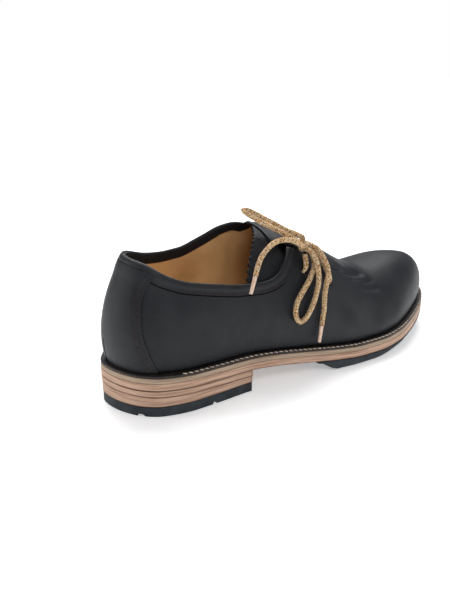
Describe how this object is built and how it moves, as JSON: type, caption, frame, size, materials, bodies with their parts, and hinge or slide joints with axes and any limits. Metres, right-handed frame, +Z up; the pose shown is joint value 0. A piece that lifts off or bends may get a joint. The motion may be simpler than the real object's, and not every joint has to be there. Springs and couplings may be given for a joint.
{
  "type": "haferl shoe",
  "caption": "Right haferl shoe: low black leather upper laced on the outer side, pinked tongue, welted leather sole with stacked heel and rubber half sole.",
  "frame": {"origin": "centre of the bounding box on the floor that the heel and the forefoot stand on, measured without the lace", "axes": "+X from heel to toe along the sole, +Y to the inner (medial) side of the foot, +Z up"},
  "size_m": [0.3, 0.102, 0.1212],
  "materials": {
    "upper_leather": "matte waxed",
    "insole_leather": "matte",
    "welt_leather": "satin",
    "midsole_leather": "matte",
    "sole_leather": "matte",
    "sole_rubber": "matte",
    "lace_cord": "matte",
    "lace_tip": "matte"
  },
  "bodies": {
    "root": {"upper": "upper_leather", "heel_counter": "upper_leather", "tongue": "upper_leather", "insole": "insole_leather", "welt": "welt_leather", "midsole": "midsole_leather", "outsole": "sole_leather", "heel_lift_upper": "sole_leather", "heel_lift_lower": "sole_leather", "heel_top_piece": "sole_rubber", "half_sole": "sole_rubber", "lace_crossing": "lace_cord", "lace_knot": "lace_cord", "lace_loop_upper": "lace_cord", "lace_loop_lower": "lace_cord", "lace_end_rear": "lace_cord", "lace_end_front": "lace_cord", "lace_tip_rear": "lace_tip", "lace_tip_front": "lace_tip"}
  },
  "joints": []
}
